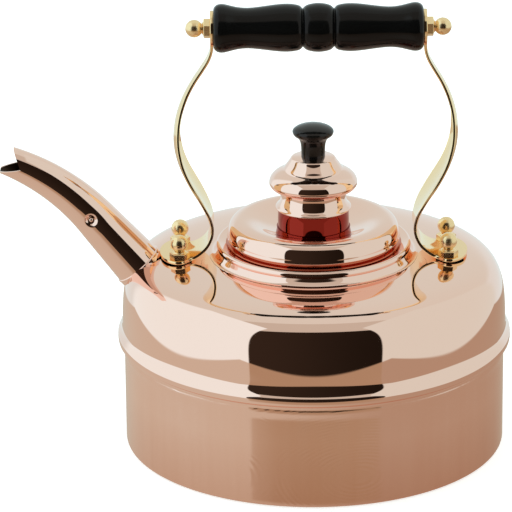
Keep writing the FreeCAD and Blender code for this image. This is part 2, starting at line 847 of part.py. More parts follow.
NODES = {
    "base_pan": base_pan(),
    "body_shell": body_shell(),
    "neck_ring": neck_ring(),
    "spout": spout(),
    "spout_ferrule": spout_ferrule(),
    "whistle_barrel": whistle_barrel(),
    "whistle_rear_disc": whistle_disc(WHISTLE_STATION - WHISTLE_LENGTH / 2),
    "whistle_front_disc": whistle_disc(WHISTLE_STATION + WHISTLE_LENGTH / 2 - WHISTLE_DISC),
    "whistle_pins": whistle_pins(),
    "lid_shell": lid_shell(),
    "lid_skirt": lid_skirt(),
    "turret_spool": turret_spool(),
    "turret_dome": turret_dome(),
    "knob": knob(),
    "knob_screw": knob_screw(),
    "knob_washer": knob_washer(),
    "knob_nut": knob_nut(),
    "strap_left": strap(-1),
    "strap_right": strap(1),
    "grip": grip(),
    "tie_rod": tie_rod(),
    "grip_ball_nuts": grip_ball_nuts(),
    "foot_ball_nuts": foot_ball_nuts(),
    "foot_studs": foot_studs(),
    "foot_seals": foot_seals(),
    "backing_plates": backing_plates(),
}

os.makedirs("parts", exist_ok=True)
for name, shape in NODES.items():
    if not shape.isValid():
        print("not valid:", name)
    print(name, "solids", len(shape.Solids), "volume", round(shape.Volume, 1))
    shape.exportStep("parts/" + name + ".step")
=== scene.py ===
"""Looks of a stovetop whistling kettle in polished copper and brass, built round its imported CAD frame.

Outlines are in millimetres in the frame's axes: origin at the centre of the base, +Z up, spout along -X.
Every object is made in metres.
"""

import math

import bpy
import numpy as np
from mathutils import Euler, Matrix, Vector


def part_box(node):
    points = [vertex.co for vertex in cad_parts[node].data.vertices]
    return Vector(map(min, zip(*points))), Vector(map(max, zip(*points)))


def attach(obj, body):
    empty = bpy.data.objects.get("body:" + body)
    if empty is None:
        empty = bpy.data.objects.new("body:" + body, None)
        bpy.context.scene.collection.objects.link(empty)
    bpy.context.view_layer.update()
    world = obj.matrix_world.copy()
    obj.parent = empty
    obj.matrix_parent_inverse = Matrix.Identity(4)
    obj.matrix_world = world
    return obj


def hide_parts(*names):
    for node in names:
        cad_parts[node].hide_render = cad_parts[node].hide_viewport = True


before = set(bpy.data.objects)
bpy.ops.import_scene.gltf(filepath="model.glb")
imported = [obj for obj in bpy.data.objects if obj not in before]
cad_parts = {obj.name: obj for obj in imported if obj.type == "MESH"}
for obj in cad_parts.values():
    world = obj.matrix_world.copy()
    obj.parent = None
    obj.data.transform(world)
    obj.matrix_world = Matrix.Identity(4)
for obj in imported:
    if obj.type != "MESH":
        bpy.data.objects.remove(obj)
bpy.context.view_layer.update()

# Millimetres to metres, steps round a lathe and along an outline, and the angle of a hard edge
MM = 0.001
TURNS = 320
STEP = 0.45
SHARP_DEG = 32

# Places read from the frame, in millimetres
PAN_RADIUS = 100.0
MOUTH_RADIUS = 44.6
SEAM_TOP = 58.0
BODY_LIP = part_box("body_shell")[1].y / MM
BODY_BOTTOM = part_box("body_shell")[0].z / MM
BODY_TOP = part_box("body_shell")[1].z / MM
NECK_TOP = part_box("neck_ring")[1].z / MM
LID_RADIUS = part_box("lid_shell")[1].y / MM
LID_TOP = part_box("lid_shell")[1].z / MM
RIM_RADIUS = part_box("turret_dome")[1].y / MM
CAP_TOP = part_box("turret_dome")[1].z / MM
KNOB_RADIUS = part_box("knob")[1].y / MM
KNOB_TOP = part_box("knob")[1].z / MM
GRIP_LOW, GRIP_HIGH = (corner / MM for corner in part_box("grip"))
GRIP_CENTRE = (GRIP_LOW + GRIP_HIGH) / 2
GRIP_HALF = (GRIP_HIGH.x - GRIP_LOW.x) / 2
FOOT_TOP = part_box("foot_ball_nuts")[0].z / MM

# Spout: a straight run from the ferrule, then a bend towards the mouth
SPOUT_BASE = Vector((-92.1, 0, 96.6))
SPOUT_RISE = math.radians(50)
SPOUT_MOUTH = math.radians(22)
SPOUT_STRAIGHT = 33.3
SPOUT_BEND = 112.0
SPOUT_REACH = 91.2
SPOUT_RADIUS = 12.9
SPOUT_NARROWING = 0.058
SPOUT_WALL = 1.0
BEAK_START = 66.0
BEAK_ROWS = 34
JAW_STEPS = 96
MOUTH_NOTCH = Vector((-151.7, 0, 151.5))
UPPER_JAW_TIP = Vector((-155.4, 0, 161.5))
LOWER_JAW_TIP = Vector((-162.4, 0, 149.6))
DIMPLE_STATION = 36.6
DIMPLE_RADIUS = 3.8
DIMPLE_FLOOR = 1.6
DIMPLE_DEPTH = 1.3
HOLLOW_RADIUS = 9.0
HOLLOW_DEPTH = 0.16

# Handle
STRAP_THICKNESS = 1.6
TAB_RADIUS = 9.2
TAB_X = 55.6
TAB_BOTTOM = 216.5
FOOT_START = 66.5
FOOT_CENTRE = 70.0
FOOT_HALF_LENGTH = 10.5
FOOT_HALF_WIDTH = 18.0
HANDLE_LEAN = 3.0
LEAN_START = 128.0
STUD_SPACING = 24.0
BALL_RADIUS = 4.55
BALL_CENTRE = 8.2
HEX_FLATS = 9.0
HEX_HEIGHT = 3.4

# Studio: edges of the light tent, as slopes seen from the kettle
OPENING_HALF_WIDTH = 0.815
LINTEL_HEIGHT = 1.17
CEILING_HEIGHT = 2.2
TENT_BACK = 1.1
TABLE_DROP = -0.33

# Floor and the surround beyond it
FLOOR_HALF = 3000
FLOOR_HEIGHT = -0.1
BACKDROP_RADIUS = 9000

# Camera
SENSOR_WIDTH = 36
VIEW_TARGET = Vector((-0.0302, 0, 0.1002))
VIEW_DISTANCE = 2.0
VIEW_ELEVATION = math.radians(20.27)
VIEW_ROLL = math.radians(0.57)
LENS = 268.2


# ---------------------------------------------------------------- curves and meshes


def through(points, step=STEP, start=None, end=None):
    """Evenly spaced points on the smooth curve through a few points, with end directions if given."""
    given = np.array([tuple(point) for point in points], float)
    gaps = np.linalg.norm(np.diff(given, axis=0), axis=1)
    count = len(given)
    rows = np.zeros((count, count))
    right = np.zeros_like(given)
    for i in range(1, count - 1):
        rows[i, i - 1 : i + 2] = gaps[i - 1], 2 * (gaps[i - 1] + gaps[i]), gaps[i]
        right[i] = 6 * ((given[i + 1] - given[i]) / gaps[i] - (given[i] - given[i - 1]) / gaps[i - 1])
    rows[0, 0] = 1
    rows[-1, -1] = 1
    if start is not None:
        rows[0, :2] = 2 * gaps[0], gaps[0]
        right[0] = 6 * ((given[1] - given[0]) / gaps[0] - unit(start))
    if end is not None:
        rows[-1, -2:] = gaps[-1], 2 * gaps[-1]
        right[-1] = 6 * (unit(end) - (given[-1] - given[-2]) / gaps[-1])
    bend = np.linalg.solve(rows, right)
    made = [given[0]]
    for i, gap in enumerate(gaps):
        pieces = max(2, int(math.ceil(gap / step)))
        for k in range(1, pieces + 1):
            b = gap * k / pieces
            a = gap - b
            point = (bend[i] * a**3 + bend[i + 1] * b**3) / (6 * gap)
            point = point + (given[i] / gap - bend[i] * gap / 6) * a
            point = point + (given[i + 1] / gap - bend[i + 1] * gap / 6) * b
            made.append(point)
    return [tuple(point) for point in made]


def unit(direction):
    """Direction as an array of length one."""
    vector = np.array(tuple(direction), float)
    return vector / np.linalg.norm(vector)


def rounded(outline, radius, steps=5):
    """Corner points of an outline, each corner but the first and last replaced by a small round."""
    made = [outline[0]]
    for before, corner, after in zip(outline, outline[1:], outline[2:]):
        corner = np.array(corner, float)
        to_before = np.array(before, float) - corner
        to_after = np.array(after, float) - corner
        reach = min(radius, np.linalg.norm(to_before) / 2.2, np.linalg.norm(to_after) / 2.2)
        first = corner + unit(to_before) * reach
        last = corner + unit(to_after) * reach
        for k in range(steps + 1):
            t = k / steps
            made.append(tuple(first * (1 - t) ** 2 + corner * 2 * t * (1 - t) + last * t**2))
    made.append(outline[-1])
    return made


def make_mesh(name, vertices, faces, material, sharp=SHARP_DEG):
    """Smooth-shaded mesh object, in metres from millimetres, with its hard edges kept."""
    mesh = bpy.data.meshes.new(name)
    mesh.from_pydata([tuple(Vector(v) * MM) for v in vertices], [], faces)
    mesh.validate()
    mesh.shade_smooth()
    mesh.set_sharp_from_angle(angle=math.radians(sharp))
    mesh.materials.append(material)
    made = bpy.data.objects.new(name, mesh)
    bpy.context.scene.collection.objects.link(made)
    return made


def lathe_parts(outline, turns, closed):
    """Vertices and faces of an outline of (radius, height) points turned about Z."""
    vertices = []
    rings = []
    for radius, height in outline:
        if radius < 1e-6:
            rings.append([len(vertices)])
            vertices.append((0, 0, height))
            continue
        first = len(vertices)
        rings.append(list(range(first, first + turns)))
        for k in range(turns):
            angle = 2 * math.pi * k / turns
            vertices.append((radius * math.cos(angle), radius * math.sin(angle), height))
    faces = []
    pairs = list(zip(rings, rings[1:]))
    if closed:
        pairs.append((rings[-1], rings[0]))
    for lower, upper in pairs:
        for k in range(turns):
            after = (k + 1) % turns
            if len(lower) == 1 and len(upper) == 1:
                break
            if len(lower) == 1:
                faces.append((lower[0], upper[after], upper[k]))
            elif len(upper) == 1:
                faces.append((lower[k], lower[after], upper[0]))
            else:
                faces.append((lower[k], lower[after], upper[after], upper[k]))
    return vertices, faces


def placed(parts, matrix):
    """Vertices and faces with the vertices moved by a matrix."""
    vertices, faces = parts
    return [tuple(matrix @ Vector(v)) for v in vertices], faces


def merged(*several):
    """Several lots of vertices and faces as one."""
    vertices = []
    faces = []
    for more_vertices, more_faces in several:
        shift = len(vertices)
        vertices.extend(more_vertices)
        faces.extend(tuple(index + shift for index in face) for face in more_faces)
    return vertices, faces


def lathe(name, outline, material, turns=TURNS, closed=True):
    """Object turned about the kettle's axis."""
    vertices, faces = lathe_parts(outline, turns, closed)
    return make_mesh(name, vertices, faces, material)


def stands_for(piece, body, slot, *nodes):
    """The piece rides on a body and stands for its CAD nodes, which it hides. The slot is not used."""
    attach(piece, body)
    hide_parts(*nodes)


# ---------------------------------------------------------------- materials

# Painted shade and painted reflection: deep reds for the turret neck and the lid groove, standing in for
# light bounced many times between copper walls
NECK_PAINTED_SHADE_AND_REFLECTION = (0.31, 0.034, 0.025)
GROOVE_PAINTED_SHADE_AND_REFLECTION = (0.58, 0.16, 0.09)
WARM_GLOSS = (0.98, 0.79, 0.75, 1)


class Shader:
    """One material with short calls for the nodes that these finishes use."""

    def __init__(self, name):
        self.material = bpy.data.materials.new(name)
        self.material.use_nodes = True
        self.nodes = self.material.node_tree.nodes
        self.links = self.material.node_tree.links
        self.surface = self.nodes["Principled BSDF"]
        self.coordinates = self.nodes.new("ShaderNodeTexCoord").outputs["Object"]

    def set(self, **values):
        for name, value in values.items():
            self.surface.inputs[name.replace("_", " ")].default_value = value

    def stretched(self, scale):
        node = self.nodes.new("ShaderNodeMapping")
        node.inputs["Scale"].default_value = scale
        self.links.new(self.coordinates, node.inputs["Vector"])
        return node.outputs["Vector"]

    def noise(self, vector, scale, detail=3.0, roughness=0.5):
        node = self.nodes.new("ShaderNodeTexNoise")
        node.inputs["Scale"].default_value = scale
        node.inputs["Detail"].default_value = detail
        node.inputs["Roughness"].default_value = roughness
        self.links.new(vector, node.inputs["Vector"])
        return node.outputs["Fac"]

    def ramp(self, value, low, high, from_low=0.3, from_high=0.7):
        node = self.nodes.new("ShaderNodeMapRange")
        node.inputs["From Min"].default_value = from_low
        node.inputs["From Max"].default_value = from_high
        node.inputs["To Min"].default_value = low
        node.inputs["To Max"].default_value = high
        self.links.new(value, node.inputs["Value"])
        return node.outputs["Result"]

    def math(self, kind, first, second=0.0):
        node = self.nodes.new("ShaderNodeMath")
        node.operation = kind
        for socket, value in zip(node.inputs, (first, second)):
            if isinstance(value, (int, float)):
                socket.default_value = value
            else:
                self.links.new(value, socket)
        return node.outputs["Value"]

    def mixed(self, factor, first, second):
        node = self.nodes.new("ShaderNodeMix")
        node.data_type = "RGBA"
        self.links.new(factor, node.inputs["Factor"])
        for socket, value in ((node.inputs["A"], first), (node.inputs["B"], second)):
            if isinstance(value, tuple):
                socket.default_value = (*value, 1)
            else:
                self.links.new(value, socket)
        return node.outputs["Result"]

    def colour(self, factor, first, second):
        self.links.new(self.mixed(factor, first, second), self.surface.inputs["Base Color"])

    def rough(self, value):
        self.links.new(value, self.surface.inputs["Roughness"])

    def bump(self, height, strength, distance):
        node = self.nodes.new("ShaderNodeBump")
        node.inputs["Strength"].default_value = strength
        node.inputs["Distance"].default_value = distance
        self.links.new(height, node.inputs["Height"])
        self.links.new(node.outputs["Normal"], self.surface.inputs["Normal"])


def recess(shader, radii, heights):
    """1 on the copper between two radii and two heights, and 0 elsewhere."""
    split = shader.nodes.new("ShaderNodeSeparateXYZ")
    shader.links.new(shader.coordinates, split.inputs["Vector"])
    x, y, height = split.outputs
    squares = shader.math("ADD", shader.math("MULTIPLY", x, x), shader.math("MULTIPLY", y, y))
    mask = None
    for value, (low, high) in ((shader.math("SQRT", squares), radii), (height, heights)):
        above = shader.math("GREATER_THAN", value, low * MM)
        between = shader.math("MULTIPLY", above, shader.math("LESS_THAN", value, high * MM))
        mask = between if mask is None else shader.math("MULTIPLY", mask, between)
    return mask


def polished_copper():
    """Mirror copper with faint smears and a slight change of tone, with painted shade and painted
    reflection: deep red in its deep recesses.
    """
    shader = Shader("polished_copper")
    shader.set(Metallic=1.0)
    tone = shader.mixed(
        shader.noise(shader.coordinates, 18, 4), (0.955, 0.632, 0.528), (0.955, 0.644, 0.546)
    )
    # Painted shade and painted reflection: the turret neck and the lid groove are painted deep red
    neck_shade_and_reflection_mask = recess(shader, (18.3, 19.2), (116.9, 127.2))
    groove_shade_and_reflection_mask = recess(shader, (43.0, 45.9), (107.5, 111.25))
    tone = shader.mixed(neck_shade_and_reflection_mask, tone, NECK_PAINTED_SHADE_AND_REFLECTION)
    tone = shader.mixed(groove_shade_and_reflection_mask, tone, GROOVE_PAINTED_SHADE_AND_REFLECTION)
    shader.links.new(tone, shader.surface.inputs["Base Color"])
    smears = shader.noise(shader.stretched((30, 30, 90)), 1.5, 5)
    shader.rough(shader.ramp(smears, 0.012, 0.035))
    return shader.material


def pan_copper():
    """Rolled copper with swirled scratches and upright streaks, and painted shade: darker and redder near
    the floor.
    """
    shader = Shader("pan_copper")
    shader.set(Metallic=1.0)
    streaks = shader.noise(shader.stretched((140, 140, 7)), 1.0, 4)
    cloud = shader.noise(shader.coordinates, 22, 5)
    tone = shader.math("ADD", shader.math("MULTIPLY", streaks, 0.5), shader.math("MULTIPLY", cloud, 0.5))
    # Painted shade: the copper is darker and redder in the lowest 35 mm of the pan, standing in for the
    # shaded table it mirrors close to the kettle
    bright = shader.mixed(shader.ramp(tone, 0, 1), (0.94, 0.61, 0.50), (0.96, 0.65, 0.55))
    painted_shade_low_copper = shader.mixed(shader.ramp(tone, 0, 1), (0.80, 0.46, 0.35), (0.86, 0.52, 0.41))
    split = shader.nodes.new("ShaderNodeSeparateXYZ")
    shader.links.new(shader.coordinates, split.inputs["Vector"])
    above_painted_shade = shader.ramp(split.outputs["Z"], 0, 1, 0.0, 0.035)
    shader.links.new(shader.mixed(above_painted_shade, painted_shade_low_copper, bright), shader.surface.inputs["Base Color"])
    cells = shader.nodes.new("ShaderNodeTexVoronoi")
    cells.inputs["Scale"].default_value = 11
    cells.inputs["Randomness"].default_value = 0.8
    shader.links.new(shader.stretched((1, 1, 1.6)), cells.inputs["Vector"])
    swirl = shader.math("SINE", shader.math("MULTIPLY", cells.outputs["Distance"], 230))
    patchy = shader.ramp(shader.noise(shader.stretched((60, 60, 60)), 1.0, 6), 0, 1, 0.44, 0.7)
    scratches = shader.math("MULTIPLY", swirl, patchy)
    shader.rough(shader.ramp(tone, 0.06, 0.14))
    shader.bump(shader.math("ADD", scratches, shader.math("MULTIPLY", streaks, 2.5)), 0.1, 0.0001)
    return shader.material


def dark_copper():
    """Very dark copper inside the spout."""
    shader = Shader("dark_copper")
    shader.set(Metallic=1.0)
    shader.colour(shader.noise(shader.coordinates, 120, 4), (0.03, 0.018, 0.012), (0.06, 0.035, 0.022))
    shader.rough(shader.ramp(shader.noise(shader.coordinates, 260, 3), 0.4, 0.6))
    return shader.material


def brass(name, low, high):
    """Brass between two roughnesses, a little hazy in patches."""
    shader = Shader(name)
    shader.set(Metallic=1.0)
    shader.colour(shader.noise(shader.coordinates, 40, 4), (0.96, 0.67, 0.36), (0.98, 0.72, 0.42))
    shader.rough(shader.ramp(shader.noise(shader.stretched((60, 60, 160)), 1.5, 4), low, high))
    return shader.material


def black_gloss():
    """Moulded black knob, glossy."""
    shader = Shader("black_gloss")
    shader.colour(shader.noise(shader.coordinates, 60, 3), (0.006, 0.006, 0.006), (0.011, 0.011, 0.011))
    shader.rough(shader.ramp(shader.noise(shader.coordinates, 120, 3), 0.13, 0.2))
    shader.set(Specular_IOR_Level=0.42, Specular_Tint=WARM_GLOSS)
    return shader.material


def black_lacquer():
    """Black lacquered wood: the grain shows faintly along the grip."""
    shader = Shader("black_lacquer")
    grain = shader.noise(shader.stretched((12, 260, 260)), 1.0, 5)
    shader.colour(grain, (0.004, 0.004, 0.004), (0.010, 0.010, 0.010))
    shader.rough(shader.ramp(grain, 0.1, 0.18))
    shader.set(Specular_IOR_Level=0.22, Specular_Tint=WARM_GLOSS)
    shader.bump(grain, 0.06, 0.0001)
    return shader.material


def steel():
    """Plain steel of the hidden screws, nuts and plates."""
    shader = Shader("steel")
    shader.set(Metallic=1.0)
    shader.colour(shader.noise(shader.coordinates, 80, 4), (0.52, 0.52, 0.53), (0.62, 0.62, 0.63))
    shader.rough(shader.ramp(shader.noise(shader.stretched((300, 300, 30)), 1.0, 3), 0.22, 0.36))
    return shader.material


def seal_rubber():
    """Pale grey sealing rings."""
    shader = Shader("seal_rubber")
    shader.colour(shader.noise(shader.coordinates, 300, 4), (0.68, 0.68, 0.66), (0.72, 0.72, 0.70))
    shader.rough(shader.ramp(shader.noise(shader.coordinates, 500, 3), 0.6, 0.8))
    return shader.material


COPPER = polished_copper()
PAN_COPPER = pan_copper()
DARK_COPPER = dark_copper()
BRASS = brass("polished_brass", 0.05, 0.11)
SATIN_BRASS = brass("satin_brass", 0.2, 0.3)
BLACK_GLOSS = black_gloss()
BLACK_LACQUER = black_lacquer()
STEEL = steel()
RUBBER = seal_rubber()


# ---------------------------------------------------------------- body


def shoulder():
    """The dome above the seam: a squared-off curve from its upright wall to its almost flat top."""
    reach, rise = 59.3, 62.5
    centre_radius, centre_height = 41.5, 40.0
    slope, neck_foot = 0.04, 51.6
    flare_top = 68
    angles = np.linspace(0.0, math.pi / 2, 20000)
    radii = centre_radius + reach * np.cos(angles) ** (2 / 9)
    heights = centre_height + rise * np.sin(angles) ** (2 / 5.94) - slope * (radii - neck_foot)
    travelled = np.concatenate([[0], np.cumsum(np.hypot(np.diff(radii), np.diff(heights)))])
    even = np.arange(0, travelled[-1], 1.0)
    points = zip(np.interp(even, travelled, radii), np.interp(even, travelled, heights))
    return [(radius, height) for radius, height in points if height > flare_top and radius > neck_foot]


def body_shell():
    """Dome with its flared lip over the seam."""
    lip = BODY_LIP
    foot = BODY_BOTTOM
    flare = [
        (lip - 0.05, foot + 0.4),
        (lip + 0.07, foot + 1.2),
        (lip + 0.1, foot + 2.4),
        (lip + 0.07, foot + 3.2),
        (lip - 0.12, foot + 3.85),
        (lip - 0.47, foot + 4.4),
        (lip - 0.96, foot + 5.05),
        (lip - 1.45, foot + 5.8),
        (lip - 1.87, foot + 6.7),
        (lip - 2.19, foot + 7.8),
        (lip - 2.37, foot + 9.0),
        (lip - 2.45, foot + 10.3),
    ]
    outer = [(lip - 0.55, foot)] + through(flare + shoulder()[1::2], 0.3)
    outer += [(51.6, BODY_TOP), (MOUTH_RADIUS, BODY_TOP)]
    inner_wall = PAN_RADIUS - 0.4
    inner = through(
        [
            (MOUTH_RADIUS, 101.2),
            (60, 100.9),
            (84, 99.4),
            (91, 97.2),
            (95, 93.6),
            (97.7, 87.2),
            (99.1, 78),
            (inner_wall, 70),
        ],
        2.0,
    )
    lip_inside = lip - 0.9
    over_pan = SEAM_TOP + 0.02
    outline = outer + inner + [(inner_wall, over_pan), (lip_inside, over_pan), (lip_inside, foot)]
    stands_for(lathe("body_dome", outline, COPPER, turns=400), "kettle", "copper", "body_shell")


def base_pan():
    """Lower pan with a slight swell under the seam and a flared rim."""
    side = PAN_RADIUS
    wall_thickness = 1.2
    bend = 1.6
    corner = []
    for angle in np.linspace(0, math.pi / 2, 9):
        corner.append((side - bend + bend * math.sin(angle), bend - bend * math.cos(angle)))
    wall = through([(side, 3.0), (side, 25.0), (side, 47.0)], 4.0)
    rim = through(
        [
            (side, 48.0),
            (side + 0.13, 49.9),
            (side + 0.27, 51.2),
            (side + 0.3, 52.0),
            (side + 0.28, 53.0),
            (side + 0.26, 54.0),
            (side + 0.5, 54.9),
            (side + 1.1, 55.7),
            (side + 2.1, 56.6),
        ],
        0.25,
    )
    outline = [(0, 0), (side - 20, 0)] + corner + wall + rim
    inner_wall = side - wall_thickness
    outline += [(side + 2.2, SEAM_TOP), (inner_wall, SEAM_TOP)]
    outline += [(inner_wall, wall_thickness), (0, wall_thickness)]
    piece = lathe("base_pan_wall", outline, PAN_COPPER, turns=400, closed=False)
    stands_for(piece, "kettle", "pan_copper", "base_pan")


def neck_ring():
    """Collar of the filling mouth with its beaded rim."""
    foot = through([(54.6, 102.5), (53.1, 102.85), (52.1, 103.7), (51.3, 104.8), (50.55, 105.9)], 0.2)
    bead = through(
        [
            (50.6, 106.0),
            (50.95, 106.5),
            (51.1, 107.2),
            (50.95, 108.0),
            (50.6, 108.6),
            (50.1, 109.0),
            (49.5, NECK_TOP),
        ],
        0.2,
    )
    inward = rounded(
        [
            (49.5, NECK_TOP),
            (45.7, 108.0),
            (43.4, 108.0),
            (43.4, 97.0),
            (MOUTH_RADIUS, 97.0),
            (MOUTH_RADIUS, 106.6),
            (48.9, 106.6),
            (48.9, 102.0),
        ],
        0.4,
    )
    piece = lathe("neck_collar", foot + bead + inward[1:], COPPER)
    stands_for(piece, "kettle", "copper", "neck_ring")


# ---------------------------------------------------------------- lid


def lid():
    """Spun lid with a rolled edge, and the ring that centres it in the neck."""
    edge = LID_RADIUS
    outer = through(
        [
            (edge - 0.2, 111.3),
            (edge, 111.7),
            (edge - 0.15, 112.3),
            (44.9, 113.5),
            (44.7, 115.3),
            (44.2, 117.2),
            (43.3, 119.0),
            (41.2, 120.6),
            (37.6, LID_TOP),
            (33.2, 120.9),
            (26.5, 118.9),
            (18.6, 117.0),
        ],
        0.3,
    )
    inner = through(
        [
            (18.6, 115.8),
            (26.8, 117.7),
            (33.4, 119.6),
            (37.5, 120.0),
            (41.4, 118.6),
            (42.9, 116.2),
            (43.1, 113.0),
        ],
        0.8,
    )
    outline = outer + [(2.1, 117.0), (2.1, 115.8)] + inner + [(43.1, 111.3)]
    stands_for(lathe("lid_cover", outline, COPPER), "lid", "copper", "lid_shell")

    inside, outside, flange = 41.9, 43.1, 45.3
    skirt = rounded(
        [
            (inside, 92.0),
            (outside, 92.0),
            (outside, 108.1),
            (flange, 108.1),
            (flange, 108.9),
            (outside, 109.6),
            (outside, 113.0),
            (inside, 113.0),
            (inside, 92.2),
        ],
        0.35,
    )
    stands_for(lathe("lid_ring", skirt, COPPER), "lid", "copper", "lid_skirt")


def turret():
    """Spool and domed cap on the lid."""
    spool = [(18.6, 117.0)] + through([(18.6, 117.4), (18.6, 122.0), (18.6, 125.6), (18.75, 126.9)], 0.3)
    spool += through(
        [
            (19.1, 127.2),
            (19.6, 127.5),
            (19.75, 127.9),
            (19.4, 128.5),
            (18.5, 129.4),
            (17.6, 130.8),
            (17.0, 132.9),
            (16.8, 135.2),
            (17.0, 137.6),
        ],
        0.15,
    )
    spool += [(15.4, 137.6), (15.2, 135.0), (15.6, 132.2), (17.2, 128.8), (17.4, 117.0)]
    stands_for(lathe("turret_waist", spool, COPPER, turns=240), "lid", "copper", "turret_spool")

    cap = [(17.5, 137.6)] + through(
        [
            (20.6, 138.0),
            (22.2, 139.3),
            (RIM_RADIUS, 141.2),
            (22.75, 142.8),
            (21.5, 144.9),
            (19.2, 146.7),
            (16.9, 147.9),
            (15.6, 148.7),
            (14.7, 149.9),
            (13.3, 151.9),
            (11.9, 154.0),
            (11.4, 154.7),
            (10.7, CAP_TOP),
        ],
        0.15,
    )
    cap += [(2.1, CAP_TOP), (2.1, 153.9), (10.4, 153.9), (13.9, 148.4), (18.8, 145.4)]
    cap += [(21.7, 141.2), (20.8, 139.6), (14.0, 138.8), (14.0, 137.6)]
    stands_for(lathe("turret_cap", cap, COPPER, turns=240), "lid", "copper", "turret_dome")


def knob():
    """Black knob: slim stem under a shallow mushroom cap."""
    stem = through(
        [
            (6.2, CAP_TOP),
            (6.2, 157.5),
            (6.3, 160.5),
            (6.8, 163.4),
            (8.2, 165.7),
            (10.1, 167.2),
            (KNOB_RADIUS, 168.6),
        ],
        0.2,
        start=(0, 1),
        end=(0.3, 1),
    )
    top = through(
        [(KNOB_RADIUS, 168.6), (10.4, 169.7), (9.3, 170.7), (6.3, 172.0), (3.1, 172.7), (0, KNOB_TOP)],
        0.2,
        start=(0.3, 1),
        end=(-1, 0),
    )
    outline = [(2.0, CAP_TOP)] + stem + top[1:]
    piece = lathe("knob_head", outline, BLACK_GLOSS, turns=160, closed=False)
    stands_for(piece, "lid", "black_gloss", "knob")


# ---------------------------------------------------------------- spout


def spout_direction(station):
    """Direction of the spout's axis at a distance from its base."""
    bend = max(0.0, station - SPOUT_STRAIGHT) / SPOUT_BEND
    angle = SPOUT_RISE - min(bend, SPOUT_RISE - SPOUT_MOUTH)
    return Vector((-math.cos(angle), 0, math.sin(angle)))


def spout_point(station):
    """Point on the spout's axis at a distance from its base."""
    point = SPOUT_BASE + spout_direction(0) * min(station, SPOUT_STRAIGHT)
    bend_length = SPOUT_BEND * (SPOUT_RISE - SPOUT_MOUTH)
    bend = min(max(0.0, station - SPOUT_STRAIGHT), bend_length)
    turned = SPOUT_RISE - bend / SPOUT_BEND
    across = math.sin(turned) - math.sin(SPOUT_RISE)
    rise = math.cos(turned) - math.cos(SPOUT_RISE)
    point = point + Vector((across, 0, rise)) * SPOUT_BEND
    return point + spout_direction(station) * max(0.0, station - SPOUT_STRAIGHT - bend_length)


def dimple(along, around):
    """Depth of the pressed dimple at a distance along the spout and around it from its centre."""
    distance = math.hypot(along, around)
    t = min(1.0, max(0.0, (distance - DIMPLE_FLOOR) / (DIMPLE_RADIUS - DIMPLE_FLOOR)))
    hollow = max(0.0, 1 - (distance / HOLLOW_RADIUS) ** 2) ** 2
    return DIMPLE_DEPTH * (1 - t * t * (3 - 2 * t)) + HOLLOW_DEPTH * hollow


def spout_surface(station, angle, shrink):
    """Point of the spout's skin. Angle 0 is the +Y side and a quarter turn is the top."""
    radius = SPOUT_RADIUS - SPOUT_NARROWING * station - shrink
    for side in (0, math.pi):
        around = math.remainder(angle - side, 2 * math.pi) * radius
        radius -= dimple(station - DIMPLE_STATION, around)
    direction = spout_direction(station)
    upward = Vector((-direction.z, 0, direction.x)) * -1
    sideways = Vector((0, 1, 0))
    return spout_point(station) + sideways * radius * math.cos(angle) + upward * radius * math.sin(angle)


def past_mouth(point):
    """True where the beak is cut away: between the lines from the notch to the two jaw tips."""
    upper = UPPER_JAW_TIP - MOUTH_NOTCH
    lower = LOWER_JAW_TIP - MOUTH_NOTCH
    offset = point - MOUTH_NOTCH
    below_upper = upper.x * offset.z - upper.z * offset.x > 0
    above_lower = offset.x * lower.z - offset.z * lower.x > 0
    return below_upper and above_lower


def mouth_station(angle, shrink):
    """Where the line along the spout at an angle ends at the beak."""
    low = BEAK_START
    station = low
    while station < SPOUT_REACH and not past_mouth(spout_surface(station, angle, shrink)):
        low = station
        station += 0.25
    high = min(station, SPOUT_REACH)
    for _ in range(20):
        middle = (low + high) / 2
        if past_mouth(spout_surface(middle, angle, shrink)):
            high = middle
        else:
            low = middle
    return high


def notch_angle():
    """Angle round the spout at which its side meets the notch of the beak."""
    stations = np.arange(BEAK_START, SPOUT_REACH, 0.05)
    nearest = min(stations, key=lambda station: (spout_point(station) - MOUTH_NOTCH).length)
    direction = spout_direction(nearest)
    upward = Vector((direction.z, 0, -direction.x))
    offset = (MOUTH_NOTCH - spout_point(nearest)).dot(upward)
    return math.asin(offset / (SPOUT_RADIUS - SPOUT_NARROWING * nearest))


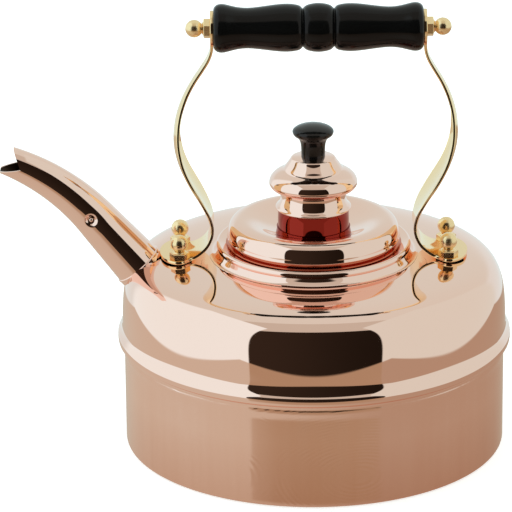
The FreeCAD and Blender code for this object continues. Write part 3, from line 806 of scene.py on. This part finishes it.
def spout():
    """Curved tapering tube with a beak: short upper jaw, long lower jaw, and a dimple on each side."""
    notch = notch_angle()
    upper = np.linspace(notch, math.pi - notch, JAW_STEPS + 1)[:-1]
    lower = np.linspace(math.pi - notch, 2 * math.pi + notch, JAW_STEPS + 1)[:-1]
    angles = list(upper) + list(lower)
    before_dimple = np.arange(-0.5, 31.0, 0.9)
    over_dimple = np.arange(31.2, 42.0, 0.3)
    after_dimple = np.arange(42.5, BEAK_START + 0.1, 0.9)
    common = [*before_dimple, *over_dimple, *after_dimple]
    beak = [k / BEAK_ROWS for k in range(1, BEAK_ROWS + 1)]
    vertices = []
    faces = []
    turns = len(angles)
    ends = []
    for shrink in (0.0, SPOUT_WALL):
        first = len(vertices)
        for station in common:
            vertices += [spout_surface(station, angle, shrink) for angle in angles]
        stops = [mouth_station(angle, shrink) for angle in angles]
        for share in beak:
            for angle, stop in zip(angles, stops):
                station = common[-1] + (stop - common[-1]) * share
                vertices.append(spout_surface(station, angle, shrink))
        rows = len(common) + len(beak)
        for row in range(rows - 1):
            for k in range(turns):
                after = (k + 1) % turns
                low = first + row * turns
                face = (low + k, low + after, low + turns + after, low + turns + k)
                faces.append(face if shrink else face[::-1])
        ends.append((first, first + (rows - 1) * turns))
    for k in range(turns):
        after = (k + 1) % turns
        outer_start, outer_end = ends[0]
        inner_start, inner_end = ends[1]
        faces.append((outer_end + k, inner_end + k, inner_end + after, outer_end + after))
        faces.append((outer_start + after, inner_start + after, inner_start + k, outer_start + k))
    piece = make_mesh("spout_tube", vertices, faces, COPPER, 50)
    piece.data.materials.append(DARK_COPPER)
    lining = range(ends[1][0], ends[1][1] + turns)
    for polygon in piece.data.polygons:
        if all(index in lining for index in polygon.vertices):
            polygon.material_index = 1
    stands_for(piece, "kettle", "copper", "spout")


def spout_ferrule():
    """Collar with two fine edges and a flared foot on the shoulder."""
    outline = through(
        [
            (11.95, 0.5),
            (12.9, 0.55),
            (13.45, 0.1),
            (13.3, -0.7),
            (13.2, -2.4),
            (13.25, -4.1),
            (13.6, -4.8),
            (13.5, -5.6),
            (13.7, -6.8),
            (14.8, -8.6),
            (17.0, -10.6),
        ],
        0.2,
    )
    outline += [(14.0, -12.0), (13.4, -19.4), (11.5, -19.4), (11.5, 0.4)]
    turn = Vector((0, 0, 1)).rotation_difference(spout_direction(0)).to_matrix().to_4x4()
    parts = placed(lathe_parts(outline, 200, True), Matrix.Translation(SPOUT_BASE) @ turn)
    piece = make_mesh("spout_collar", *parts, COPPER)
    stands_for(piece, "kettle", "copper", "spout_ferrule")


# ---------------------------------------------------------------- handle


def lean(height):
    """Offset of the handle along X at a height: it leans away from the spout."""
    tab_foot = GRIP_CENTRE.z - TAB_RADIUS
    return HANDLE_LEAN * min(1.0, max(0.0, height - LEAN_START) / (tab_foot - LEAN_START))


def strap_path(side):
    """Middle line of a strap's outer face as (x, z), from the top of its tab to the end of its foot."""
    tab_top = GRIP_CENTRE.z + TAB_RADIUS
    outline = [
        (TAB_X, TAB_BOTTOM),
        (56.9, 210.0),
        (63.5, 199.2),
        (70.6, 185.4),
        (73.7, 170.0),
        (72.2, 156.4),
        (65.5, 141.8),
        (57.6, 129.1),
        (53.8, 117.5),
        (56.6, 109.4),
        (62.0, 105.0),
        (FOOT_START, FOOT_TOP),
    ]
    curve = through(outline, 1.0, start=(0, -1), end=(1, 0))
    tab = []
    for angle in np.linspace(0, math.pi, 28):
        tab.append((TAB_X, tab_top - (tab_top - TAB_BOTTOM) * (1 - math.cos(angle)) / 2))
    foot_length = FOOT_CENTRE + FOOT_HALF_LENGTH - FOOT_START
    foot = []
    for angle in np.linspace(0, math.pi / 2, 26):
        foot.append((FOOT_START + foot_length * math.sin(angle), FOOT_TOP))
    return [(side * x + lean(z), z) for x, z in tab[:-1] + curve + foot[1:]]


def strap_half_width(x, z):
    """Half the width of a strap at a point of its path: tab disc, slim neck, broad leaf and oval foot."""
    heights = [103.8, 108, 113, 117.5, 122, 128, 140, 150, 158, 166, 176, 186, 196, 206, 218]
    widths = [13.0, 11.3, 10.2, 10.0, 10.8, 12.4, 14.0, 12.9, 11.6, 10.2, 8.2, 6.5, 5.2, 4.6, 4.8]
    leaf = np.interp(z, heights, widths)
    from_centre = abs(z - GRIP_CENTRE.z)
    tab_zone = TAB_BOTTOM - 6.5
    disc = math.sqrt(max(0.0, TAB_RADIUS**2 - from_centre**2)) if z > tab_zone else 0.0
    if z >= GRIP_CENTRE.z:
        return max(disc, 0.02)
    if z > FOOT_TOP + 0.02:
        return (leaf**6 + disc**6) ** (1 / 6)
    share = (abs(x) - FOOT_CENTRE) / FOOT_HALF_LENGTH
    foot = FOOT_HALF_WIDTH * math.sqrt(max(0.0, 1 - share**2))
    if abs(x) >= FOOT_CENTRE:
        return max(foot, 0.02)
    return (leaf**8 + foot**8) ** (1 / 8)


def strap(name, side, node):
    """Crowned brass strap, one sheet from the round tab to the oval foot."""
    path = [Vector((x, 0, z)) for x, z in strap_path(side)]
    halves = []
    for point in path:
        halves.append(strap_half_width(point.x - lean(point.z), point.z))
    halves = smoothed(halves, path)
    across = [math.sin(math.radians(a)) for a in np.linspace(-90, 90, 29)]
    soft = STRAP_THICKNESS * 0.22
    rim = 0.25
    ring_length = 2 * len(across) + 4
    vertices = []
    for i, (point, half) in enumerate(zip(path, halves)):
        tangent = (path[min(i + 1, len(path) - 1)] - path[max(i - 1, 0)]).normalized()
        outward = Vector((-tangent.z, 0, tangent.x)) * side
        crown = np.interp(point.z, [106, 122, 135, 158, 172, 190, 205], [0, 0.3, 1.2, 1.9, 1.6, 0.7, 0])
        ring = []
        for share in across:
            ring.append(point + Vector((0, share * (half - rim), 0)) - outward * crown * share**2)
        edge = point - outward * crown
        ring.append(edge + Vector((0, half, 0)) - outward * soft)
        ring.append(edge + Vector((0, half, 0)) - outward * (STRAP_THICKNESS - soft))
        for share in across[::-1]:
            depth = STRAP_THICKNESS + crown * share**2
            ring.append(point + Vector((0, share * (half - rim), 0)) - outward * depth)
        ring.append(edge - Vector((0, half, 0)) - outward * (STRAP_THICKNESS - soft))
        ring.append(edge - Vector((0, half, 0)) - outward * soft)
        vertices += ring
    faces = []
    for row in range(len(path) - 1):
        low = row * ring_length
        for k in range(ring_length):
            after = (k + 1) % ring_length
            face = (low + k, low + after, low + ring_length + after, low + ring_length + k)
            faces.append(face if side > 0 else face[::-1])
    first = tuple(range(ring_length))
    last = tuple(first_index + (len(path) - 1) * ring_length for first_index in first)
    faces += [first[::-1], last] if side > 0 else [first, last[::-1]]
    stands_for(make_mesh(name, vertices, faces, BRASS, 40), "kettle", "brass", node)


def smoothed(halves, path):
    """Half widths with their corners eased, except at the round ends."""
    values = np.array(halves)
    eased = values.copy()
    for _ in range(6):
        eased[1:-1] = (eased[:-2] + 2 * eased[1:-1] + eased[2:]) / 4
    keep = np.array([point.z > GRIP_CENTRE.z - 4 or abs(point.x) > FOOT_CENTRE for point in path])
    return np.where(keep, values, eased)


def along_x(start):
    """Matrix that lays a shape built up the Z axis along X, from a start point."""
    return Matrix.Translation(start) @ Matrix.Rotation(math.pi / 2, 4, "Y")


def grip():
    """Turned black grip: flared ends, waists, swells, and a bead between two grooves."""
    half = GRIP_HALF
    arm = through(
        [
            (8.4, half),
            (10.3, half - 0.25),
            (11.6, half - 1.2),
            (12.4, half - 2.9),
            (12.55, half - 4.6),
            (12.0, half - 7.6),
            (11.0, half - 11.8),
            (10.45, half - 17.0),
            (10.75, half - 22.0),
            (11.5, half - 28.0),
            (12.2, half - 34.0),
            (12.35, half - 38.0),
            (11.9, half - 42.5),
            (10.9, half - 45.0),
            (9.9, 8.2),
        ],
        0.35,
    )
    bead = through(
        [
            (9.9, 8.0),
            (11.2, 6.6),
            (12.1, 4.2),
            (12.6, 0),
            (12.1, -4.2),
            (11.2, -6.6),
            (9.9, -8.0),
        ],
        0.3,
    )
    mirrored = [(radius, -place) for radius, place in arm[::-1]]
    outline = arm + bead + mirrored + [(2.6, -half), (2.6, half)]
    parts = placed(lathe_parts(outline, 180, True), along_x(GRIP_CENTRE))
    stands_for(make_mesh("grip_handle", *parts, BLACK_LACQUER, 50), "kettle", "black_wood", "grip")


def ball_nut_parts():
    """Hexagon with a ball end, standing on the XY plane."""
    corner = HEX_FLATS / math.sqrt(3)
    chamfer = 0.3
    rings = [(corner - chamfer, 0), (corner, chamfer)]
    rings += [(corner, HEX_HEIGHT - chamfer), (corner - chamfer, HEX_HEIGHT)]
    hexagon = lathe_parts([(0, 0)] + rings + [(0, HEX_HEIGHT)], 6, False)
    angles = np.linspace(math.radians(-58), math.pi / 2, 40)
    ball = [(BALL_RADIUS * math.cos(a), BALL_CENTRE + BALL_RADIUS * math.sin(a)) for a in angles]
    ball[-1] = (0, BALL_CENTRE + BALL_RADIUS)
    sunk = HEX_HEIGHT - 0.1
    neck = through([(3.9, sunk), (3.4, HEX_HEIGHT + 0.3), (2.9, HEX_HEIGHT + 0.7), ball[0]], 0.1)
    turned = lathe_parts([(0, sunk)] + neck + ball[1:], 96, False)
    return merged(hexagon, turned)


def ball_nuts():
    """Ball nuts on the ends of the tie rod and on the four handle studs."""
    ends = []
    for side in (-1, 1):
        start = Vector((side * TAB_X + HANDLE_LEAN, 0, GRIP_CENTRE.z))
        turn = Matrix.Rotation(side * math.pi / 2, 4, "Y")
        ends.append(placed(ball_nut_parts(), Matrix.Translation(start) @ turn))
    piece = make_mesh("grip_nuts", *merged(*ends), SATIN_BRASS, 25)
    stands_for(piece, "kettle", "brass", "grip_ball_nuts")

    feet = []
    for side in (-1, 1):
        for row in (-1, 1):
            place = Vector((side * FOOT_CENTRE, row * STUD_SPACING / 2, FOOT_TOP))
            feet.append(placed(ball_nut_parts(), Matrix.Translation(place)))
    piece = make_mesh("foot_nuts", *merged(*feet), SATIN_BRASS, 25)
    stands_for(piece, "kettle", "brass", "foot_ball_nuts")


# ---------------------------------------------------------------- CAD nodes that stay as they are


def finish_frame_nodes():
    """Gives the frame's own nodes their finishes."""
    finishes = {
        COPPER: ("whistle_pins",),
        BRASS: ("whistle_barrel", "whistle_rear_disc", "whistle_front_disc"),
        STEEL: ("knob_screw", "knob_washer", "knob_nut", "tie_rod", "foot_studs"),
        SATIN_BRASS: ("backing_plates",),
        RUBBER: ("foot_seals",),
    }
    for material, nodes in finishes.items():
        for node in nodes:
            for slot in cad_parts[node].material_slots:
                slot.material = material


# ---------------------------------------------------------------- studio


class Sky:
    """World shader: a light tent with bright sides, a dark opening in front, and a table below."""

    def __init__(self):
        self.world = bpy.data.worlds.new("studio")
        bpy.context.scene.world = self.world
        self.world.use_nodes = True
        self.nodes = self.world.node_tree.nodes
        self.links = self.world.node_tree.links
        coordinates = self.nodes.new("ShaderNodeTexCoord")
        split = self.nodes.new("ShaderNodeSeparateXYZ")
        self.links.new(coordinates.outputs["Generated"], split.inputs["Vector"])
        self.x, self.y, self.z = split.outputs

    def put(self, socket, value):
        if hasattr(value, "is_linked"):
            self.links.new(value, socket)
        else:
            socket.default_value = value

    def math(self, kind, first, second=0.0):
        node = self.nodes.new("ShaderNodeMath")
        node.operation = kind
        self.put(node.inputs[0], first)
        self.put(node.inputs[1], second)
        return node.outputs["Value"]

    def above(self, value, edge, soft):
        """0 below the edge and 1 above it, with a soft step."""
        node = self.nodes.new("ShaderNodeMapRange")
        node.interpolation_type = "SMOOTHSTEP"
        self.put(node.inputs["Value"], value)
        node.inputs["From Min"].default_value = edge - soft / 2
        node.inputs["From Max"].default_value = edge + soft / 2
        return node.outputs["Result"]

    def mix(self, factor, first, second):
        node = self.nodes.new("ShaderNodeMix")
        node.data_type = "RGBA"
        self.put(node.inputs["Factor"], factor)
        for socket, value in ((node.inputs["A"], first), (node.inputs["B"], second)):
            self.put(socket, value if hasattr(value, "is_linked") else (*value, 1))
        return node.outputs["Result"]

    def finish(self, colour):
        self.links.new(colour, self.nodes["Background"].inputs["Color"])


def studio_light():
    """Soft light tent. A direction is looked up by where it leaves the tent's upright sides and ceiling."""
    sky = Sky()
    wide = sky.math("ABSOLUTE", sky.x)
    deep = sky.math("ABSOLUTE", sky.y)
    wide_safe = sky.math("MAXIMUM", wide, 0.001)
    deep_safe = sky.math("MAXIMUM", deep, 0.001)
    reach = sky.math("MAXIMUM", wide_safe, deep_safe)

    is_right = sky.above(sky.x, 0.0, 0.05)
    is_front = sky.above(sky.math("MULTIPLY", sky.y, -1), 0.0, 0.02)
    sideways = sky.math("DIVIDE", wide, deep_safe)
    in_gap = sky.math("SUBTRACT", 1.0, sky.above(sideways, OPENING_HALF_WIDTH, 0.03))

    low_behind = sky.math("SUBTRACT", 1.0, sky.above(sky.z, 0.27, 0.18))
    behind = sky.mix(low_behind, (0.73, 0.83, 0.79), (0.78, 0.94, 0.96))
    ceiling = sky.mix(is_front, behind, (0.60, 0.63, 0.57))
    wall = sky.mix(is_right, (0.92, 1.16, 1.22), (0.75, 0.88, 0.85))

    # The side walls stop at the ceiling and before the back of the tent
    side_height = sky.math("DIVIDE", sky.z, wide_safe)
    below_ceiling = sky.math("SUBTRACT", 1.0, sky.above(side_height, CEILING_HEIGHT, 0.12))
    backwards = sky.math("DIVIDE", sky.y, wide_safe)
    before_back = sky.math("SUBTRACT", 1.0, sky.above(backwards, TENT_BACK, 0.35))
    beside_gap = sky.math("SUBTRACT", 1.0, sky.math("MULTIPLY", in_gap, is_front))
    on_wall = sky.math("MULTIPLY", sky.math("MULTIPLY", below_ceiling, before_back), beside_gap)
    colour = sky.mix(on_wall, ceiling, wall)

    # The dark opening in front
    front_height = sky.math("DIVIDE", sky.z, deep_safe)
    below_lintel = sky.math("SUBTRACT", 1.0, sky.above(front_height, LINTEL_HEIGHT, 0.05))
    in_opening = sky.math("MULTIPLY", sky.math("MULTIPLY", in_gap, is_front), below_lintel)
    across = sky.above(sky.x, 0.0, 1.4)
    opening = sky.mix(across, (0.034, 0.024, 0.017), (0.014, 0.010, 0.007))
    colour = sky.mix(in_opening, colour, opening)

    # The table: paler to the left, darker where it mirrors the opening
    sides = sky.mix(across, (0.63, 0.61, 0.52), (0.47, 0.38, 0.29))
    drop = sky.math("DIVIDE", sky.z, reach)
    mirrored = sky.math("MULTIPLY", sky.math("MULTIPLY", in_gap, is_front), sky.above(drop, -0.55, 0.3))
    table = sky.mix(mirrored, sides, (0.44, 0.34, 0.23))
    colour = sky.mix(sky.above(drop, TABLE_DROP, 0.02), table, colour)
    sky.finish(colour)


def only_camera_sees(piece):
    """The piece shows in pictures and takes shadows, but isn't mirrored in the metal."""
    piece.visible_glossy = False
    piece.visible_diffuse = False
    piece.visible_transmission = False


def floor():
    """Plain white floor with a soft contact shadow."""
    shader = Shader("floor_white")
    shader.colour(shader.noise(shader.coordinates, 2, 2), (0.9, 0.9, 0.9), (0.92, 0.92, 0.92))
    shader.set(Roughness=1.0, Specular_IOR_Level=0.0)
    shader.set(Emission_Color=(1, 1, 1, 1), Emission_Strength=0.6)
    corners = []
    for x, y in ((-1, -1), (1, -1), (1, 1), (-1, 1)):
        corners.append((x * FLOOR_HALF, y * FLOOR_HALF, FLOOR_HEIGHT))
    only_camera_sees(make_mesh("floor", corners, [(0, 1, 2, 3)], shader.material))


def backdrop():
    """White surround beyond the floor."""
    shader = Shader("backdrop_white")
    shader.colour(shader.noise(shader.coordinates, 1, 1), (0.0, 0.0, 0.0), (0.01, 0.01, 0.01))
    shader.set(Roughness=1.0, Emission_Color=(1, 1, 1, 1), Emission_Strength=1.1)
    angles = np.linspace(-math.pi / 2, math.pi / 2, 33)
    outline = [(BACKDROP_RADIUS * math.cos(a), BACKDROP_RADIUS * math.sin(a)) for a in angles]
    piece = make_mesh("backdrop", *lathe_parts(outline, 64, False), shader.material)
    piece.visible_shadow = False
    only_camera_sees(piece)


def camera():
    """Long lens at the kettle's front, a little above it."""
    data = bpy.data.cameras.new("camera")
    data.sensor_width = SENSOR_WIDTH
    data.lens = LENS
    data.clip_end = 50
    made = bpy.data.objects.new("camera", data)
    tilt = Euler((math.pi / 2 - VIEW_ELEVATION, 0, 0)).to_matrix()
    made.location = VIEW_TARGET + tilt @ Vector((0, 0, VIEW_DISTANCE))
    made.rotation_euler = (tilt @ Matrix.Rotation(-VIEW_ROLL, 3, "Z")).to_euler()
    bpy.context.scene.collection.objects.link(made)
    bpy.context.scene.camera = made


base_pan()
body_shell()
neck_ring()
lid()
turret()
knob()
spout()
spout_ferrule()
strap("handle_strap_left", -1, "strap_left")
strap("handle_strap_right", 1, "strap_right")
grip()
ball_nuts()
finish_frame_nodes()
studio_light()
floor()
backdrop()
camera()
bpy.context.scene.view_settings.view_transform = "Standard"
